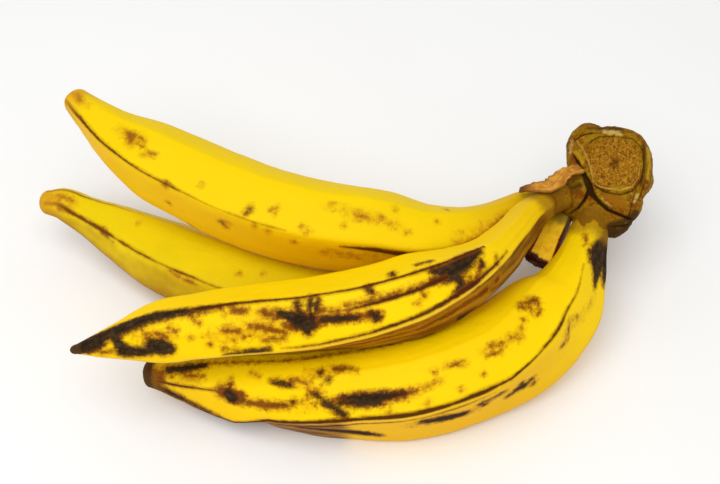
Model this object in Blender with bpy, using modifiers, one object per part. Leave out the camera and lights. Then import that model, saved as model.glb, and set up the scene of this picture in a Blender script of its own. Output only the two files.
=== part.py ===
# A hand of plantains lying down: four whole fruits, the stub of a fifth and a dried
# bract, all grown on one crown that was cut from the bunch stalk.
# Metres, +Z up. The origin is on the table, at the middle of the hand's footprint.

import bpy
import bmesh
from math import cos, sin, pi, radians
from mathutils import Matrix, Vector

MM = 0.001
HAND_NAME = "plantain"
FOOT_CENTRE = (-9.8, -54.2)     # mm, middle of the footprint in the layout below
GAP = 0.3                       # mm, left between pieces that touch
FLAT_FACES = 4                  # faces across each flat of a fruit
STATION_STEP = 8.0              # mm between the sections of a fruit
DOME_STEPS = 3                  # sections that round off a tip
SECTION_REACH = 1.02            # how far a rounded pentagon stands out past its flats, on average
NECK_SHARPNESS = 5.0            # how crisp the ridges are where the section is nearly round

# Routes run from the crown to the tip: x, y, z and width of the section, in mm.
# Flats are the directions that the sides of the section face, in degrees from
# straight up, positive towards the front; a ridge runs between two of them. They
# are stated at one or more places along the fruit, from 0 at the root to 1 at the tip.
FRUITS = {
    "plantain_top": {
        "route": [(124, 11, 46, 8.5), (94, -12, 50, 13.5), (74, -28, 54, 19), (57, -41, 57, 30),
                  (36, -47, 60, 38), (8, -45, 64, 45), (-28, -40, 66, 46.5), (-61, -29, 68, 46.5),
                  (-92, -14, 71.3, 45), (-119, 0, 76, 41), (-141, 13, 82, 28.5), (-155, 24, 87, 20.5),
                  (-163, 31.6, 89, 16.2)],
        "flats": [(0.0, (-75, -30, 20, 92, 150, 215))],
        "sharpness": 11.0,
        "dome": 0.7,
    },
    "plantain_back": {
        "route": [(133, 14, 33, 12), (103, -8, 30, 14), (80, -31, 26, 24), (50, -52, 22, 36),
                  (14, -63, 19, 42), (-23, -64.2, 20, 45), (-57, -55, 21, 45), (-90, -40, 21, 45),
                  (-118, -25, 21, 41), (-144, -11.5, 25, 30.4), (-165, -1.5, 29, 22.6), (-178, 2.8, 33, 19),
                  (-185, 2.8, 34, 15)],
        "flats": [(0.0, (-50, 10, 80, 135, 180, 245))],
        "sharpness": 11.0,
        "dome": 0.8,
    },
    "plantain_middle": {
        "route": [(119, -9, 57, 15), (97, -29, 60, 16), (84, -49, 63.6, 18), (70, -68.5, 68, 22.5),
              (53, -83.5, 71, 30.5), (32, -94, 70.4, 37), (7, -100.5, 67.5, 37), (-24, -104, 64, 35.5),
              (-54, -105.5, 61.5, 34.5), (-82, -107.5, 59, 32), (-106, -109.5, 57, 28.2),
              (-124, -113, 55.5, 17.4), (-137, -115.6, 54.5, 11), (-147, -117.5, 54, 5)],
        "flats": [(0.22, (-34, 20, 28, 66, 146, 240)), (0.33, (-33, 24, 34, 84, 154, 244)),
              (0.42, (-28, 28, 42, 98, 170, 250)), (0.59, (-26, 32, 58, 122, 188, 256)),
              (0.8, (-28, 32, 62, 128, 198, 260)), (0.88, (-24, 34, 74, 144, 204, 262))],
        "sharpness": 14.0,
        "dome": 1.4,
    },
    "plantain_front": {
        "route": [(136, -12, 49, 21), (126, -42, 42, 25), (120.6, -55, 37, 32), (112.6, -68, 31, 43.2),
                  (100, -79.6, 28, 50.8), (84, -93.2, 27, 53.8), (57, -108.5, 27, 55.5), (27, -118.5, 25, 54),
                  (-5, -121, 23, 49), (-35, -119.8, 22, 44.8), (-62, -115, 21.5, 39),
                  (-81, -112.5, 21, 31), (-98, -110.5, 20, 22), (-113, -108.5, 20, 15)],
        "flats": [(0.12, (-105, -65, -25, 45, 115, 180)), (0.4, (-52, -12, 25, 95, 172, 235)),
              (0.62, (-45, -5, 31, 103, 180, 242)), (0.7, (-41, -1, 47, 107, 184, 250)),
              (0.77, (-34, 6, 68, 115, 188, 260)), (0.84, (-27, 16, 76, 156, 214, 276)),
              (0.95, (-25, 18, 80, 166, 222, 280))],
        "sharpness": 13.0,
        "dome": 0.7,
    },
}

CUT_STUB = {
    "route": [(127, 0, 44, 12), (119, -8, 41.5, 12.5), (110.5, -22, 36.5, 16.2), (101.3, -40, 31.5, 18.8)],
    "flats": [(0.0, (-72, 10, 88, 160, 235))],
    "sharpness": 9.0,
}

# The dried bract: a curled strip that hangs back from the crown over the upper neck.
BRACT = {
    "route": [(91, -11.6, 62.6), (99, -14, 67.3), (107, -15.4, 69), (116, -7, 70.5), (125, -0.6, 67.7)],
    "widths": (3.0, 8.5, 10.5, 10.0, 9.0),
    "curl": 1.2,                # mm, how far its edges droop below its middle
    "tilt": 12.0,               # degrees that its front edge stands higher
    "thickness": 1.0,
    "step": 4.0,
}

# The crown is a knob turned about the axis of the cut, with lumps grown onto it.
CUT_CENTRE = (147.0, -2.0, 73.0)
CUT_FACING = (0.02, -0.50, 0.86)
CROWN_PROFILE = [(0.0, 0.0), (13.5, 0.0), (15.0, -1.0), (19.0, -5.0), (23.5, -13.0),
                 (25.0, -24.0), (22.5, -35.0), (15.0, -43.0), (0.0, -46.0)]
CROWN_TURNS = 32
CROWN_STRETCH = 1.1             # the knob is taller than wide across the cut
CROWN_LUMPS = [                 # centre, half sizes in mm, turn about Z in degrees
    ((136, 20, 60), (13, 16, 17), 10),
    ((131, -5, 49), (19, 17, 16), 35),
    ((147, -15, 48), (16, 18, 15), -10),
]

COLOURS = {                     # base colour, roughness
    "plantain_top": ((0.90, 0.62, 0.01), 0.5),
    "plantain_back": ((0.72, 0.60, 0.02), 0.5),
    "plantain_middle": ((0.78, 0.52, 0.02), 0.5),
    "plantain_front": ((0.80, 0.50, 0.01), 0.5),
    "cut_stub": ((0.70, 0.42, 0.02), 0.6),
    "dried_bract": ((0.55, 0.27, 0.07), 0.8),
    "crown": ((0.28, 0.16, 0.03), 0.85),
}


def clear_scene():
    for old in list(bpy.data.objects):
        bpy.data.objects.remove(old, do_unlink=True)


def new_collection(name):
    collection = bpy.data.collections.new(name)
    bpy.context.scene.collection.children.link(collection)
    return collection


def finish_material(name):
    colour, roughness = COLOURS[name]
    material = bpy.data.materials.new(name)
    material.use_nodes = True
    shader = material.node_tree.nodes["Principled BSDF"]
    shader.inputs["Base Color"].default_value = (*colour, 1.0)
    shader.inputs["Roughness"].default_value = roughness
    shader.inputs["Metallic"].default_value = 0.0
    return material


def add_object(name, mesh, collection):
    piece = bpy.data.objects.new(name, mesh)
    collection.objects.link(piece)
    return piece


def placed(x, y, z):
    return Vector((x - FOOT_CENTRE[0], y - FOOT_CENTRE[1], z)) * MM


def smooth_stations(route, step):
    """Sections about one step apart on a smooth curve through the rows of a route."""
    rows = [Vector(row) for row in route]
    spans = [(b.to_3d() - a.to_3d()).length for a, b in zip(rows, rows[1:])]
    slopes = [(b - a) / span for a, b, span in zip(rows, rows[1:], spans)]
    bends = [slopes[0]]
    for before, after, left, right in zip(slopes, slopes[1:], spans, spans[1:]):
        bends.append((before * right + after * left) / (left + right))
    bends.append(slopes[-1])
    stations = []
    for i, span in enumerate(spans):
        count = max(1, round(span / step))
        for k in range(count):
            t = k / count
            stations.append(rows[i] * (1 + 2 * t) * (1 - t) ** 2 + rows[i + 1] * t * t * (3 - 2 * t)
                            + (bends[i] * t * (1 - t) ** 2 - bends[i + 1] * t * t * (1 - t)) * span)
    stations.append(rows[-1])
    return stations


def flats_at(keys, along):
    """The directions of the flats at a fraction of the way along a fruit."""
    if along <= keys[0][0]:
        return keys[0][1]
    for (start, before), (end, after) in zip(keys, keys[1:]):
        if along < end:
            share = (along - start) / (end - start)
            return tuple(a + (b - a) * share for a, b in zip(before, after))
    return keys[-1][1]


def section_angles(flats):
    """Where the points of a section lie, in degrees: one on each ridge, the rest between."""
    ridges = [(a + b) / 2 for a, b in zip(flats, flats[1:])]
    ridges.append((flats[-1] + flats[0] + 360) / 2)
    spans = zip([ridges[-1] - 360] + ridges, ridges)
    return [a + (b - a) * k / FLAT_FACES for a, b in spans for k in range(FLAT_FACES)]


def section_radius(angle, flats, sharpness):
    """Distance from the middle to a rounded polygon with its flats one unit away."""
    pull = sum(max(0.0, cos(radians(angle - flat))) ** sharpness for flat in flats)
    return pull ** (-1.0 / sharpness)


def swell(along):
    """0 at the two ends of a fruit, 1 over its body."""
    rise = min(1.0, along / 0.22) * min(1.0, (1.0 - along) / 0.12)
    return rise * rise * (3.0 - 2.0 * rise)


def loft(spec, extra=0.0, dome=0.0):
    """A closed body through the sections of a route, its sides and root moved out by extra mm."""
    stations = smooth_stations(spec["route"], STATION_STEP)
    last = stations[-1]
    heading = (last - stations[-2]).to_3d().normalized()
    for k in range(1, DOME_STEPS + 1):
        turn = 0.5 * pi * k / (DOME_STEPS + 0.5)
        if dome:
            out = last.to_3d() + heading * sin(turn) * dome * last.w / 2
            stations.append(Vector((*out, last.w * cos(turn))))
    bm = bmesh.new()
    rings = []
    for i, station in enumerate(stations):
        here = station.to_3d()
        after = stations[min(i + 1, len(stations) - 1)].to_3d()
        before = stations[max(i - 1, 0)].to_3d()
        heading = (after - before).normalized()
        up = (Vector((0, 0, 1)) - heading * heading.z).normalized()
        front = up.cross(heading)
        if i == 0:
            here = here - heading * extra
        along = i / (len(stations) - 1)
        sharpness = NECK_SHARPNESS + (spec["sharpness"] - NECK_SHARPNESS) * swell(along)
        flats = flats_at(spec["flats"], along)
        ring = []
        for angle in section_angles(flats):
            reach = station.w / 2 / SECTION_REACH * section_radius(angle, flats, sharpness) + extra
            out = up * cos(radians(angle)) + front * sin(radians(angle))
            ring.append(bm.verts.new(placed(*(here + out * reach))))
        rings.append(ring)
    for ring, following in zip(rings, rings[1:]):
        for k in range(len(ring)):
            bm.faces.new((ring[k], ring[k - 1], following[k - 1], following[k]))
    bm.faces.new(rings[0])
    bm.faces.new(reversed(rings[-1]))
    bmesh.ops.recalc_face_normals(bm, faces=bm.faces)
    return bm


def rest_on_table(bm):
    """The belly is pressed flat where it lies on the table."""
    cut = bmesh.ops.bisect_plane(bm, geom=bm.verts[:] + bm.edges[:] + bm.faces[:], dist=1e-7,
                                 plane_co=(0, 0, 0), plane_no=(0, 0, 1), clear_inner=True)
    rims = [item for item in cut["geom_cut"] if isinstance(item, bmesh.types.BMEdge)]
    if rims:
        bmesh.ops.holes_fill(bm, edges=rims, sides=0)
        bmesh.ops.recalc_face_normals(bm, faces=bm.faces)


def to_object(bm, name, collection, smooth=True):
    mesh = bpy.data.meshes.new(name)
    bm.to_mesh(mesh)
    bm.free()
    if smooth:
        mesh.shade_smooth()
        mesh.set_sharp_from_angle(angle=radians(40))
    return add_object(name, mesh, collection)


def make_fruits(parts):
    for name, spec in FRUITS.items():
        bm = loft(spec, dome=spec["dome"])
        rest_on_table(bm)
        fruit = to_object(bm, name, parts)
        fruit.data.materials.append(finish_material(name))


def make_stub(parts):
    stub = to_object(loft(CUT_STUB), "cut_stub", parts)
    stub.data.materials.append(finish_material("cut_stub"))


def bract_sheet(extra=0.0):
    """The middle surface of the bract, its sides and root moved out by extra mm."""
    rows = [(*point, width) for point, width in zip(BRACT["route"], BRACT["widths"])]
    stations = smooth_stations(rows, BRACT["step"])
    tilt = radians(BRACT["tilt"])
    bm = bmesh.new()
    strips = []
    for i, station in enumerate(stations):
        after = stations[min(i + 1, len(stations) - 1)]
        heading = (after - stations[max(i - 1, 0)]).to_3d().normalized()
        level = heading.cross(Vector((0, 0, 1))).normalized()
        across = level * cos(tilt) + Vector((0, 0, 1)) * sin(tilt)
        here = station.to_3d()
        if after == station:
            here += heading * extra
        strip = []
        for side in (-1.0, -0.5, 0.0, 0.5, 1.0):
            droop = Vector((0, 0, BRACT["curl"] * side * side))
            point = here + across * side * (station.w / 2 + extra) - droop
            strip.append(bm.verts.new(placed(*point)))
        strips.append(strip)
    for strip, following in zip(strips, strips[1:]):
        for k in range(len(strip) - 1):
            bm.faces.new((strip[k], strip[k + 1], following[k + 1], following[k]))
    return bm


def thicken(piece, thickness):
    shell = piece.modifiers.new("thickness", "SOLIDIFY")
    shell.thickness = thickness * MM
    shell.offset = 0.0


def make_bract(parts):
    bract = to_object(bract_sheet(), "dried_bract", parts)
    thicken(bract, BRACT["thickness"])
    bract.data.materials.append(finish_material("dried_bract"))


def boolean(target, tool, operation):
    step = target.modifiers.new(tool.name, "BOOLEAN")
    step.operation = operation
    step.object = tool
    step.solver = "EXACT"


def make_tool(bm, name, cutters):
    tool = to_object(bm, name, cutters)
    tool.hide_render = True
    tool.display_type = "WIRE"
    return tool


def make_crown(parts, cutters):
    profile = bmesh.new()
    points = [profile.verts.new((radius * MM, 0, depth * MM)) for radius, depth in CROWN_PROFILE]
    for a, b in zip(points, points[1:]):
        profile.edges.new((a, b))
    crown = to_object(profile, "crown", parts, smooth=False)
    facing = Vector(CUT_FACING).to_track_quat("Z", "Y").to_matrix().to_4x4()
    stretch = Matrix.Diagonal((1.0, CROWN_STRETCH, 1.0, 1.0))
    crown.matrix_world = Matrix.Translation(placed(*CUT_CENTRE)) @ facing @ stretch
    turned = crown.modifiers.new("turned", "SCREW")
    turned.steps = CROWN_TURNS
    turned.render_steps = CROWN_TURNS
    turned.use_merge_vertices = True
    turned.merge_threshold = 0.00005
    for i, (centre, half_sizes, turn) in enumerate(CROWN_LUMPS):
        bm = bmesh.new()
        bmesh.ops.create_icosphere(bm, subdivisions=3, radius=1.0)
        size = Matrix.Diagonal((*(Vector(half_sizes) * MM), 1.0))
        bm.transform(Matrix.Translation(placed(*centre)) @ Matrix.Rotation(radians(turn), 4, "Z") @ size)
        boolean(crown, make_tool(bm, f"crown_lump_{i + 1}", cutters), "UNION")
    for name, spec in [*FRUITS.items(), ("cut_stub", CUT_STUB)]:
        boolean(crown, make_tool(loft(spec, extra=GAP), f"{name}_socket", cutters), "DIFFERENCE")
    slot = make_tool(bract_sheet(extra=GAP), "dried_bract_socket", cutters)
    thicken(slot, BRACT["thickness"] + 2 * GAP)
    boolean(crown, slot, "DIFFERENCE")
    crown.data.materials.append(finish_material("crown"))


def main():
    clear_scene()
    parts = new_collection(HAND_NAME)
    cutters = new_collection("cutters")
    make_fruits(parts)
    make_stub(parts)
    make_bract(parts)
    make_crown(parts, cutters)


main()
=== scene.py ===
# Ripe plantains lying on a pale table: four whole fruits, the stub of a fifth and a dried
# bract, all grown on one crown that was cut from the bunch stalk.

import random
from math import atan2, cos, exp, pi, radians, sin, sqrt

import bmesh
import bpy
from mathutils import Matrix, Vector, noise


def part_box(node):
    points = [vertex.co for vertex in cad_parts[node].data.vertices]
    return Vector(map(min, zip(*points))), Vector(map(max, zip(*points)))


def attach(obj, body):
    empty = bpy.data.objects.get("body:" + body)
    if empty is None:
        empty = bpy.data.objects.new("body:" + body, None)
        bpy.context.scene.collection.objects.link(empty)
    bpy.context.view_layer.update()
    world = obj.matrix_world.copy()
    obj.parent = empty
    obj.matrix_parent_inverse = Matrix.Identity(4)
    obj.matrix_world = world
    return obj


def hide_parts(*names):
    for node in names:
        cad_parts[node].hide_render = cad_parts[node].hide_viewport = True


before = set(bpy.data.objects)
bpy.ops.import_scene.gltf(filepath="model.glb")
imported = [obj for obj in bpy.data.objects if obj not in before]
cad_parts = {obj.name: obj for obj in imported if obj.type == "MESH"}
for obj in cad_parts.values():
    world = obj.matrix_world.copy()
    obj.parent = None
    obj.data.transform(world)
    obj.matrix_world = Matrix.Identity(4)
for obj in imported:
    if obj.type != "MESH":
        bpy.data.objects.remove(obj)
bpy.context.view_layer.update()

mm = 0.001
footCentre = Vector((-9.8, -54.2, 0.0))   # mm, where the frame's origin lies in the layout below
upward = Vector((0, 0, 1))


# Shader wiring

class Wire:
    # one socket of a node tree; sums and products of wires add their own Math nodes
    def __init__(self, tree, socket=None):
        self.tree = tree
        self.socket = socket

    def node(self, kind, settings=None, sockets=None, output=0):
        made = self.tree.nodes.new("ShaderNode" + kind)
        for name, value in (settings or {}).items():
            setattr(made, name, value)
        for name, value in (sockets or {}).items():
            if isinstance(value, Wire):
                self.tree.links.new(value.socket, made.inputs[name])
            else:
                made.inputs[name].default_value = value
        return Wire(self.tree, made.outputs[output] if len(made.outputs) else None)

    def maths(self, operation, a, b=0.0):
        return self.node("Math", {"operation": operation}, {0: a, 1: b})

    def __add__(self, other):
        return self.maths("ADD", self, other)

    def __radd__(self, other):
        return self.maths("ADD", other, self)

    def __sub__(self, other):
        return self.maths("SUBTRACT", self, other)

    def __rsub__(self, other):
        return self.maths("SUBTRACT", other, self)

    def __mul__(self, other):
        return self.maths("MULTIPLY", self, other)

    def __rmul__(self, other):
        return self.maths("MULTIPLY", other, self)

    def __abs__(self):
        return self.maths("ABSOLUTE", self)

    def higher(self, other):
        return self.maths("MAXIMUM", self, other)

    def rise(self, low, high):              # 0 below low, 1 above high, smooth between
        return self.node("MapRange", {"interpolation_type": "SMOOTHSTEP"},
                         {"Value": self, "From Min": low, "From Max": high})

    def between(self, below, above):        # a colour, from below at 0 to above at 1
        a, b = (paint(end) if isinstance(end, str) else end for end in (below, above))
        return self.node("Mix", {"data_type": "RGBA"}, {0: self, 6: a, 7: b}, output=2)

    def scaled(self, x, y, z):
        return self.node("VectorMath", {"operation": "MULTIPLY"}, {0: self, 1: (x, y, z)})

    def part(self, axis):
        return self.node("SeparateXYZ", {}, {0: self}, output=axis)

    def cloud(self, size, detail=3.0, roughness=0.5, distortion=0.0):
        # smooth noise about 0, mostly within half a unit; size in the vector's own unit
        fac = self.node("TexNoise", {}, {"Vector": self, "Scale": 1.0 / size, "Detail": detail,
                                         "Roughness": roughness, "Distortion": distortion})
        return (fac - 0.5) * 2.0

    def attribute(self, name, output="Fac"):
        return self.node("Attribute", {"attribute_name": name}, output=output)


def paint(code):
    # a colour from its hex code, as the linear values that shaders use
    parts = [int(code[i:i + 2], 16) / 255 for i in (0, 2, 4)]
    return (*(c / 12.92 if c <= 0.04045 else ((c + 0.055) / 1.055) ** 2.4 for c in parts), 1.0)


def coated(colour, look, coats):
    # a colour with coats over it: where, how strongly, and a colour of the look or a mixed one
    for where, strength, coat in coats:
        colour = (where * strength).between(colour, look[coat] if isinstance(coat, str) else coat)
    return colour


def newMaterial(name):
    # an empty material, the wire that adds its nodes, and the place on the piece in mm
    material = bpy.data.materials.new(name)
    material.use_nodes = True
    material.node_tree.nodes.clear()
    pen = Wire(material.node_tree)
    return material, pen, pen.node("TexCoord", output="Object").scaled(1000, 1000, 1000)


def finishShader(pen, look, colour, roughness, height):
    raised = pen.node("Bump", {}, {"Strength": look["bump"], "Distance": mm, "Height": height})
    sockets = {"Base Color": colour, "Roughness": roughness + look["roughness"],
               "Specular IOR Level": look["gloss"], "Normal": raised}
    shader = pen.node("BsdfPrincipled", {}, sockets)
    pen.node("OutputMaterial", {}, {"Surface": shader})


# Shapes shared by the pieces

skin = {
    "reach": 1.02,             # how far a rounded section stands out past its flats
    "neckSharpness": 5.0,      # how crisp the ridges are where the section is nearly round
    "neckShare": 0.22, "tipShare": 0.12,       # shares of the length over which they turn crisp
    "step": 1.3,               # mm between the rings of the finished mesh
    "columns": 108,            # points around a ring
    "domeSteps": 9,            # rings that round off a tip
    "flareRun": 11.0,          # mm over which a root flares into the crown
    "waves": ((0.045, 0.55), (0.16, 0.16)),    # unevenness: how fine, and how high in mm
    "keel": 0.45, "keelWidth": 1.2,            # mm, the crisp line of a ridge
    "lineTurn": 80.0,          # degrees from its ridge within which a line can show
    "markMargin": 9.0,         # mm around a stroke within which its edge is worked out
    "noMark": -3.0,            # depth where there is no mark
    "goldenRun": 75.0,         # mm past the root over which the golden neck fades
    "greenNeck": 0.5, "greenRun": (70, 20),    # extra green towards the root, between these mm
    "shadeSlope": (0.75, -0.35),               # how far down the skin faces where the painted shade turns it deep
}


def placed(x, y, z):
    return (Vector((x, y, z)) - footCentre) * mm


def ease(value, low, high):
    t = min(1.0, max(0.0, (value - low) / (high - low)))
    return t * t * (3.0 - 2.0 * t)


def turnBetween(a, b):
    return (a - b + 180.0) % 360.0 - 180.0


def smoothStations(route, step):
    # sections about one step apart on a smooth curve through the rows of a route
    rows = [Vector(row) for row in route]
    spans = [(b.to_3d() - a.to_3d()).length for a, b in zip(rows, rows[1:])]
    slopes = [(b - a) / span for a, b, span in zip(rows, rows[1:], spans)]
    bends = [slopes[0]]
    for before, after, left, right in zip(slopes, slopes[1:], spans, spans[1:]):
        bends.append((before * right + after * left) / (left + right))
    bends.append(slopes[-1])
    stations = []
    for i, span in enumerate(spans):
        count = max(1, round(span / step))
        for k in range(count):
            t = k / count
            stations.append(rows[i] * (1 + 2 * t) * (1 - t) ** 2 + rows[i + 1] * t * t * (3 - 2 * t)
                            + (bends[i] * t * (1 - t) ** 2 - bends[i + 1] * t * t * (1 - t)) * span)
    stations.append(rows[-1])
    return stations


def distances(stations):
    run = [0.0]
    for before, after in zip(stations, stations[1:]):
        run.append(run[-1] + (after - before).to_3d().length)
    return run


def facing(stations, i):
    # the ways that lead along the route, up from it and to its front
    after = stations[min(i + 1, len(stations) - 1)].to_3d()
    before = stations[max(i - 1, 0)].to_3d()
    heading = (after - before).normalized()
    up = (upward - heading * heading.z).normalized()
    return heading, up, up.cross(heading)


def flatsAt(keys, share):
    if share <= keys[0][0]:
        return keys[0][1]
    for (start, before), (end, after) in zip(keys, keys[1:]):
        if share < end:
            t = (share - start) / (end - start)
            return tuple(a + (b - a) * t for a, b in zip(before, after))
    return keys[-1][1]


def ridgesOf(flats):
    ridges = [(a + b) / 2 for a, b in zip(flats, flats[1:])]
    return ridges + [(flats[-1] + flats[0] + 360) / 2]


def ringAngles(flats, columns):
    # directions around a ring, with the ridges on fixed columns
    ridges = ridgesOf(flats)
    perFlat = columns // len(flats)
    spans = zip([ridges[-1] - 360] + ridges, ridges)
    angles = [a + (b - a) * k / perFlat for a, b in spans for k in range(perFlat)]
    return angles + [angles[0] + 360]


def ringRadius(station, angle, flats, sharpness):
    # from the middle of a section to its skin, in a direction
    pull = sum(max(0.0, cos(radians(angle - flat))) ** sharpness for flat in flats)
    return station.w / 2 / skin["reach"] * pull ** (-1.0 / sharpness)


def straightened(along, radius, angle):
    # where a point of the skin lies once the route is straight, for patterns that follow it
    return Vector((along, radius * cos(radians(angle)), radius * sin(radians(angle))))


def strokeSpans(strokes):
    spans = []
    for stroke in strokes:
        for start, end in list(zip(stroke, stroke[1:])) or [(stroke[0], stroke[0])]:
            margin = skin["markMargin"] + max(start[2], end[2])
            low, high = sorted((start[0], end[0]))
            spans.append((low - margin, high + margin, start, end))
    return spans


def depthInside(spans, along, angle, reach):
    # how deep a point of the skin lies inside the nearest stroke, in mm; negative outside
    best = -skin["markMargin"]
    girth = radians(1.0) * reach
    for low, high, start, end in spans:
        if low < along < high:
            startY = turnBetween(start[1], angle) * girth
            dx = end[0] - start[0]
            dy = turnBetween(end[1], start[1]) * girth
            px = along - start[0]
            length = dx * dx + dy * dy
            t = min(1.0, max(0.0, (px * dx - startY * dy) / length)) if length > 1e-9 else 0.0
            away = sqrt((px - dx * t) ** 2 + (startY + dy * t) ** 2)
            best = max(best, start[2] + (end[2] - start[2]) * t - away)
    return best


def newLayers(bm, names, vectorNames=()):
    layers = {name: bm.verts.layers.float.new(name) for name in names}
    layers.update({name: bm.verts.layers.float_vector.new(name) for name in vectorNames})
    return layers


def toPiece(bm, settings, material):
    mesh = bpy.data.meshes.new(settings["node"] + "_skin")
    bm.to_mesh(mesh)
    bm.free()
    mesh.shade_smooth()
    piece = bpy.data.objects.new(settings["node"] + "_skin", mesh)
    bpy.context.scene.collection.objects.link(piece)
    mesh.materials.append(material)
    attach(piece, "root")
    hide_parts(settings["node"])
    reportFit(piece, settings["node"])


def reportFit(piece, node):
    low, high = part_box(node)
    off = 0.0
    for axis in range(3):
        places = [vert.co[axis] for vert in piece.data.vertices]
        off = max(off, abs(min(places) - low[axis]), abs(max(places) - high[axis]))
    print(f"{piece.name}: {len(piece.data.polygons)} faces, box within {off / mm:.1f} mm of the solid")


# Fruits

# Routes run from the crown to the tip: x, y, z and width of the section, in mm. Flats are the
# directions that the sides of the section face, in degrees from straight up, positive towards
# the front, at places from 0 at the root to 1 at the tip. A mark is a list of strokes, and a
# stroke is a list of points: mm along the fruit from its root, direction, half width in mm.
# Lines follow a ridge, shifted by some mm, with their half width at places along the fruit. Root,
# scar and blush are mm too: the crown's brown on the neck, the dried tip and the warm skin by it.

usualFruit = {
    "flare": 0.35,             # how much the root widens into the crown
    "sleeve": 1.4, "rounding": 1.0,            # mm, the crown's tissue on the neck and its rounded start
    "green": 0.2, "golden": 0.0,               # tints of the whole fruit and of its neck
    "pale": None, "underShadeAndBruise": None,               # a pale line along a ridge, partly a painted highlight on its crest, and a darker side below one, painted shade with bruising
}

topFruit = {
    "node": "plantain_top", "slot": "yellow_skin", "seed": 3,
    "route": [
        (124, 11, 46, 8.5), (94, -12, 50, 13.5), (74, -28, 54, 19), (57, -41, 57, 30), (36, -47, 60, 38),
        (8, -45, 64, 45), (-28, -40, 66, 46.5), (-61, -29, 68, 46.5), (-92, -14, 71.3, 45),
        (-119, 0, 76, 41), (-141, 13, 82, 28.5), (-155, 24, 87, 20.5), (-163, 31.6, 89, 16.2),
    ],
    "flats": [(0, (-75, -30, 20, 92, 150, 215))],
    "sharpness": 11, "dome": 0.7, "root": 34, "sleeve": 0.3, "scar": 0.5, "blush": 24, "golden": 0.4,
    "lines": [
        {"ridge": 2, "width": [
            (178, -0.6), (190, -0.1), (208, -0.1), (215, -0.5), (236, -0.2), (246, 0.5), (252, 0.2),
            (262, 0.3), (290, 0.6), (318, 0.9), (331, 0.6)]},
        # painted shade: a crease shadow below the upper face, widest towards the crown
        {"ridge": 2, "shift": 4, "width": [(92, 3), (108, 2.3), (130, 1.4), (150, 0.5), (154, -0.2)]},
    ],
    "char": [[(200, 42, 0.5), (199, 44, 0.2)], [(201, 49, 0.4)], [(213, 76, 0.6)], [(249, 57, 0.7)]],
    "brown": [
        # the first stroke is a brown line with painted shade where the middle fruit passes in front; the
        # second is a painted contact shadow along the lower edge, above the back fruit
        [(58, 44, 0.8), (66, 50, 1.5), (75, 54, 1.8), (86, 57, 1.8), (96, 58, 1)],
        [(226, 128, 0.4), (200, 130, 1), (170, 130, 1.1), (150, 130, 0.9)],
        [(286, 16, 1.2), (282, 21, 2.8), (281, 26, 1.8)], [(268, 29, 0.5), (263, 29, 0.8)], [(247, 92, 0.8)],
        [(279, 14, 0.7), (274, 17, 0.9)], [(276, 24, 0.5), (272, 26, 0.7)], [(146, 21, 0.9), (141, 24, 0.9)],
        [(160, 11, 0.5)], [(134, 20, 0.7)], [(322, 15, 1.2), (327, 5, 1.8)], [(267, 34, 0.5)],
        [(270, 36, 0.5)], [(187, 31, 0.8)], [(189, 36, 0.8)], [(187, 40, 0.4)], [(211, 84, 0.8)],
        [(210, 72, 0.6)], [(195, 62, 0.8)], [(188, 64, 0.9)], [(172, 48, 0.7)], [(169, 52, 0.8)],
        [(152, 38, 0.7)], [(120, 34, 0.6)], [(105, 12, 0.6)], [(230, 38, 0.5)], [(175, 70, 0.8)],
        [(128, 4, 0.6)], [(96, -22, 1.1)],
    ],
    "stain": [
        [(162, 14, 3), (142, 22, 5), (126, 28, 4)], [(290, 18, 4), (280, 22, 6)],
        [(316, 12, 2), (331, 8, 5)], [(95, 50, 5), (80, 50, 6)], [(160, 80, 4), (100, 84, 5)],
    ],
}

backFruit = {
    "node": "plantain_back", "slot": "green_yellow_skin", "seed": 8,
    "route": [
        (133, 14, 33, 12), (103, -8, 30, 14), (80, -31, 26, 24), (50, -52, 22, 36), (14, -63, 19, 42),
        (-23, -64.2, 20, 45), (-57, -55, 21, 45), (-90, -40, 21, 45), (-118, -25, 21, 41),
        (-144, -11.5, 25, 30.4), (-165, -1.5, 29, 22.6), (-178, 2.8, 33, 19), (-185, 2.8, 34, 15),
    ],
    "flats": [(0, (-50, 10, 80, 135, 180, 245))],
    "sharpness": 11, "dome": 0.8, "root": 24, "scar": -1.5, "blush": 26, "green": 0.55, "golden": 0.3,
    "lines": [
        {"ridge": 1, "width": [
            (200, -0.3), (238, 0.1), (252, 0.3), (258, 0.7), (266, 0.1), (292, 0.4), (302, 0.8), (306, 0.2),
            (314, 0.9), (340, 1), (363, 0.8)]},
        {"ridge": 0, "width": [(300, -0.8), (326, 0), (345, 0.4), (363, 0.2)]},
        {"ridge": 2, "width": [(230, 0), (250, 0.3), (285, 0), (363, 0.2)]},
    ],
    "char": [[(316, 47, 0.7), (314, 51, 0.5)]],
    "brown": [
        [(346, 10, 0.8), (354, 14, 1.2)], [(318, 44, 1.2)], [(309, 57, 0.7)],
        [(262, 50, 0.6), (246, 53, 0.5)], [(196, 26, 0.8)], [(186, 33, 0.8)], [(300, 0, 0.6)],
        [(344, 44, 1.2), (352, 55, 1.4)], [(226, 18, 0.7)], [(214, 6, 0.8)],
    ],
    "stain": [[(345, 20, 3), (363, 30, 6)]],
}

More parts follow.
